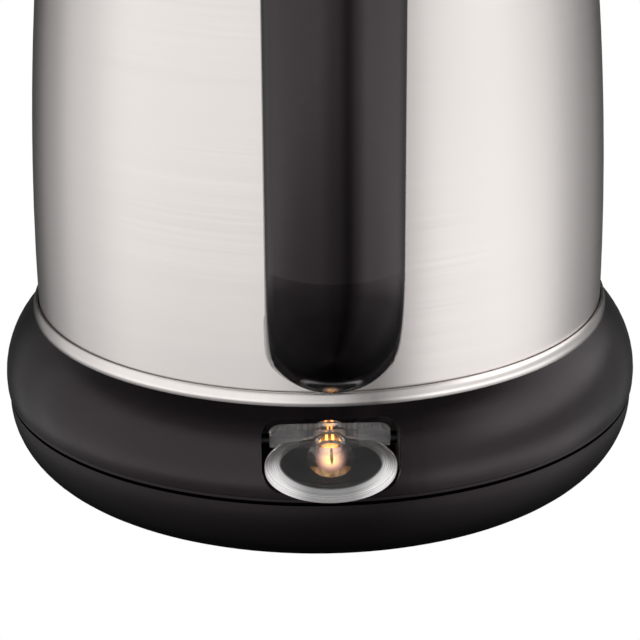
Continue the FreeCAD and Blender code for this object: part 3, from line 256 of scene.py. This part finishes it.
def paint_bevel_highlight(tree, shader, across, along, dull):
    """A painted highlight: a little white emission on the dull bevel's outer ends, standing in for light
    caught inside the plastic.
    """
    ends = range_node(tree, math_node(tree, "ABSOLUTE", across), HIGHLIGHT_ACROSS, (0.02, 0.42))
    outer = range_node(tree, along, HIGHLIGHT_ALONG, (0.0, 1.0))
    painted_highlight = tree.nodes.new("ShaderNodeEmission")
    painted_highlight.inputs["Color"].default_value = (1.0, 0.97, 0.97, 1.0)
    tree.links.new(product(tree, dull, outer, ends), painted_highlight.inputs["Strength"])
    both = tree.nodes.new("ShaderNodeAddShader")
    tree.links.new(shader.outputs["BSDF"], both.inputs[0])
    tree.links.new(painted_highlight.outputs["Emission"], both.inputs[1])
    tree.links.new(both.outputs["Shader"], tree.nodes["Material Output"].inputs["Surface"])


def clear_plastic():
    """The switch's clear plastic: dulled on its bevel, with painted light in its dimple standing in for the
    lamp behind, and a painted highlight on the bevel's outer ends.
    """
    material, tree, shader = surface("clear_plastic", (0.97, 0.97, 0.97), 0.02, IOR=1.49)
    grain(tree, shader, (400.0,) * 3, (0.01, 0.03))
    axes = switch_axes(tree)
    across, along, _ = axes
    dull = bevel_dulling(tree, across, along)
    clearness = range_node(tree, dull, (0.0, 1.0), (0.955, 0.3))
    tree.links.new(clearness, shader.inputs["Transmission Weight"])
    # Painted glow: the clear plastic emits amber light in its dimple, as if lit by the lamp behind
    paint_dimple_glow(tree, shader, axes)
    # Painted highlight: white emission on the bevel's outer ends
    paint_bevel_highlight(tree, shader, across, along, dull)
    return material


def lamp_glass():
    """The neon lamp's envelope, glowing only round its electrodes."""
    material, tree, shader = surface("lamp_glass", (1.0, 0.8, 0.66), 0.05, IOR=1.3, Transmission_Weight=1.0)
    grain(tree, shader, (400.0,) * 3, (0.03, 0.07))
    distance = lamp_distance(tree, switch_axes(tree), LAMP_GLOW_PLACE, LAMP_GLOW_RADIUS)
    shader.inputs["Emission Color"].default_value = (1.0, 0.5, 0.16, 1.0)
    glow = range_node(tree, distance, (0.2, 1.3), (1.1, 0.0))
    tree.links.new(glow, shader.inputs["Emission Strength"])
    return material


def lamp_glow():
    """The lit electrodes."""
    material, _, shader = surface("lamp_glow", (1.0, 0.5, 0.15), 0.4)
    shader.inputs["Emission Color"].default_value = (1.0, 0.46, 0.12, 1.0)
    shader.inputs["Emission Strength"].default_value = 3.0
    return material


FINISHES = {
    "brushed_steel": brushed_steel(),
    "bright_steel": metal("bright_steel", (0.82, 0.775, 0.75), (0.16, 0.24)),
    "plain_steel": metal("plain_steel", (0.62, 0.62, 0.62), (0.3, 0.42)),
    "bare_aluminium": metal("bare_aluminium", (0.7, 0.71, 0.72), (0.38, 0.5)),
    "contact_brass": metal("contact_brass", (0.72, 0.52, 0.22), (0.25, 0.35)),
    "gloss_black": gloss_black(),
    "satin_black": satin_black(),
    "inner_plastic": matt_plastic(),
    "black_rubber": rubber(),
    "clear_plastic": clear_plastic(),
    "lamp_glass": lamp_glass(),
}
# Pieces that look different from the rest of their slot
SPECIAL = {
    "lamp_electrodes": lamp_glow(),
    "switch_tray": surface("pocket_grey", (0.24, 0.22, 0.225), 0.3)[0],
    "bottom_housing": housing_black(),
    "switch_pin": metal("dark_pin", (0.06, 0.06, 0.06), (0.3, 0.4)),
}
SLOT_OF = {entry["node"]: entry["material_slot"] for entry in frame["record"]["subparts"]}


def dress():
    """Gives every piece its finish."""
    for name, thing in nodes.items():
        material = SPECIAL.get(name) or FINISHES[SLOT_OF[name]]
        if not thing.data.materials:
            thing.data.materials.append(material)
        for slot in thing.material_slots:
            slot.material = material


# Studio

STRENGTH = 1.1
FLOOR_HALF = 6.0
# Each light has levels by compass angle, 0 towards the camera's side and positive to the right, and levels
# by the sine of the height above the horizon. The main light is wide and soft on the left, then has a gap,
# and is weaker on the right.
MAIN_LIGHT = (
    (-180, 0.03), (-155, 0.05), (-132, 0.31), (-112, 0.68), (-80, 1.02), (-24, 1.02), (2, 0.6), (18, 0.22),
    (32, 0.54), (44, 0.8), (72, 0.76), (96, 0.6), (115, 0.42), (132, 0.24), (155, 0.06), (180, 0.03),
)
MAIN_HEIGHT = (
    (-1, 0.06), (-0.8, 0.13), (-0.62, 0.24), (-0.51, 0.32), (-0.44, 0.6), (-0.38, 1.15), (-0.3, 1.07),
    (-0.15, 0.94), (0.35, 0.94), (0.6, 0.22), (0.8, 0.06), (1, 0.05),
)
# A second soft light, high on the right
SIDE_LIGHT = ((-180, 0.0), (40, 0.0), (72, 1.0), (112, 1.0), (150, 0.0), (180, 0.0))
SIDE_HEIGHT = ((-1, 0.0), (0.02, 0.0), (0.25, 1.0), (0.55, 1.0), (0.8, 0.0), (1, 0.0))
# A low light on the right, which brightens the foot of the vessel there
LOW_LIGHT = ((-180, 0.0), (20, 0.0), (50, 1.0), (90, 1.0), (125, 0.0), (180, 0.0))
LOW_HEIGHT = ((-1, 0.0), (-0.6, 0.2), (-0.44, 0.62), (-0.34, 0.5), (-0.12, 0.0), (1, 0.0))


def floor():
    """A white floor: plain white to the camera, clear to reflections and from below."""
    mesh = bpy.data.meshes.new("floor")
    corners = [(x * FLOOR_HALF, y * FLOOR_HALF, 0) for x, y in ((-1, -1), (1, -1), (1, 1), (-1, 1))]
    mesh.from_pydata(corners, [], [(0, 1, 2, 3)])
    plane = bpy.data.objects.new("floor", mesh)
    scene.collection.objects.link(plane)
    material, tree, shader = surface("floor", (0.85, 0.85, 0.85), 0.9)
    path = tree.nodes.new("ShaderNodeLightPath").outputs
    geometry = tree.nodes.new("ShaderNodeNewGeometry").outputs
    clear = tree.nodes.new("ShaderNodeBsdfTransparent").outputs["BSDF"]
    white = tree.nodes.new("ShaderNodeEmission")
    white.inputs["Color"].default_value = (1.0, 1.0, 1.0, 1.0)
    white.inputs["Strength"].default_value = 1.0
    straight = math_node(tree, "MAXIMUM", path["Is Camera Ray"], path["Is Transmission Ray"])
    mirrored = mixed(tree, path["Is Glossy Ray"], shader.outputs["BSDF"], clear)
    seen = mixed(tree, straight, mirrored, white.outputs["Emission"])
    under = mixed(tree, geometry["Backfacing"], seen, clear)
    tree.links.new(under, tree.nodes["Material Output"].inputs["Surface"])
    mesh.materials.append(material)


def ramp(tree, source, stops):
    """A grey ramp over a value from 0 to 1."""
    node = tree.nodes.new("ShaderNodeValToRGB")
    node.color_ramp.interpolation = "EASE"
    elements = node.color_ramp.elements
    elements[0].position = stops[0][0]
    elements[0].color = (*[stops[0][1]] * 3, 1.0)
    elements[1].position = stops[-1][0]
    elements[1].color = (*[stops[-1][1]] * 3, 1.0)
    for position, level in stops[1:-1]:
        elements.new(position).color = (*[level] * 3, 1.0)
    tree.links.new(source, node.inputs["Fac"])
    return node.outputs["Color"]


def studio():
    """The room's light, from all round, above and below, and a white backdrop to the camera."""
    world = bpy.data.worlds.new("studio")
    scene.world = world
    world.use_nodes = True
    tree = world.node_tree
    background = tree.nodes["Background"]
    x, y, z = split_vector(tree, "Generated")
    angle = math_node(tree, "ARCTAN2", x, product(tree, y, -1.0))
    turn = math_node(tree, "ADD", math_node(tree, "DIVIDE", angle, 2 * math.pi), 0.5)
    height = math_node(tree, "ADD", product(tree, z, 0.5), 0.5)
    lights = ((MAIN_LIGHT, MAIN_HEIGHT), (SIDE_LIGHT, SIDE_HEIGHT), (LOW_LIGHT, LOW_HEIGHT))
    total = 0.0
    for angles, heights in lights:
        by_angle = ramp(tree, turn, [((degrees + 180) / 360, level) for degrees, level in angles])
        by_height = ramp(tree, height, [((sine + 1) / 2, level) for sine, level in heights])
        total = math_node(tree, "ADD", product(tree, by_angle, by_height), total)
    path = tree.nodes.new("ShaderNodeLightPath")
    backdrop = math_node(tree, "DIVIDE", path.outputs["Is Camera Ray"], STRENGTH)
    tree.links.new(math_node(tree, "MAXIMUM", total, backdrop), background.inputs["Color"])
    background.inputs["Strength"].default_value = STRENGTH


# Camera, fitted to the photograph

AZIMUTH = math.radians(-1.8)
ELEVATION = math.radians(20.93)
ROLL = math.radians(-0.49)
DISTANCE = 0.7
TARGET = Vector((0.00012, 0.0, 0.03374))
LENS = 151.96
SENSOR_WIDTH = 36.0


def camera():
    """The photograph's view: from the handle side, a little to the left and above."""
    data = bpy.data.cameras.new("camera")
    data.lens = LENS
    data.sensor_width = SENSOR_WIDTH
    data.clip_start = 0.01
    thing = bpy.data.objects.new("camera", data)
    scene.collection.objects.link(thing)
    level = math.cos(ELEVATION)
    back = Vector((math.sin(AZIMUTH) * level, -math.cos(AZIMUTH) * level, math.sin(ELEVATION)))
    turn = back.to_track_quat("Z", "Y").to_matrix().to_4x4()
    thing.matrix_world = Matrix.Translation(TARGET + back * DISTANCE) @ turn @ Matrix.Rotation(ROLL, 4, "Z")
    scene.camera = thing


dress()
floor()
studio()
camera()
scene.view_settings.view_transform = "Standard"
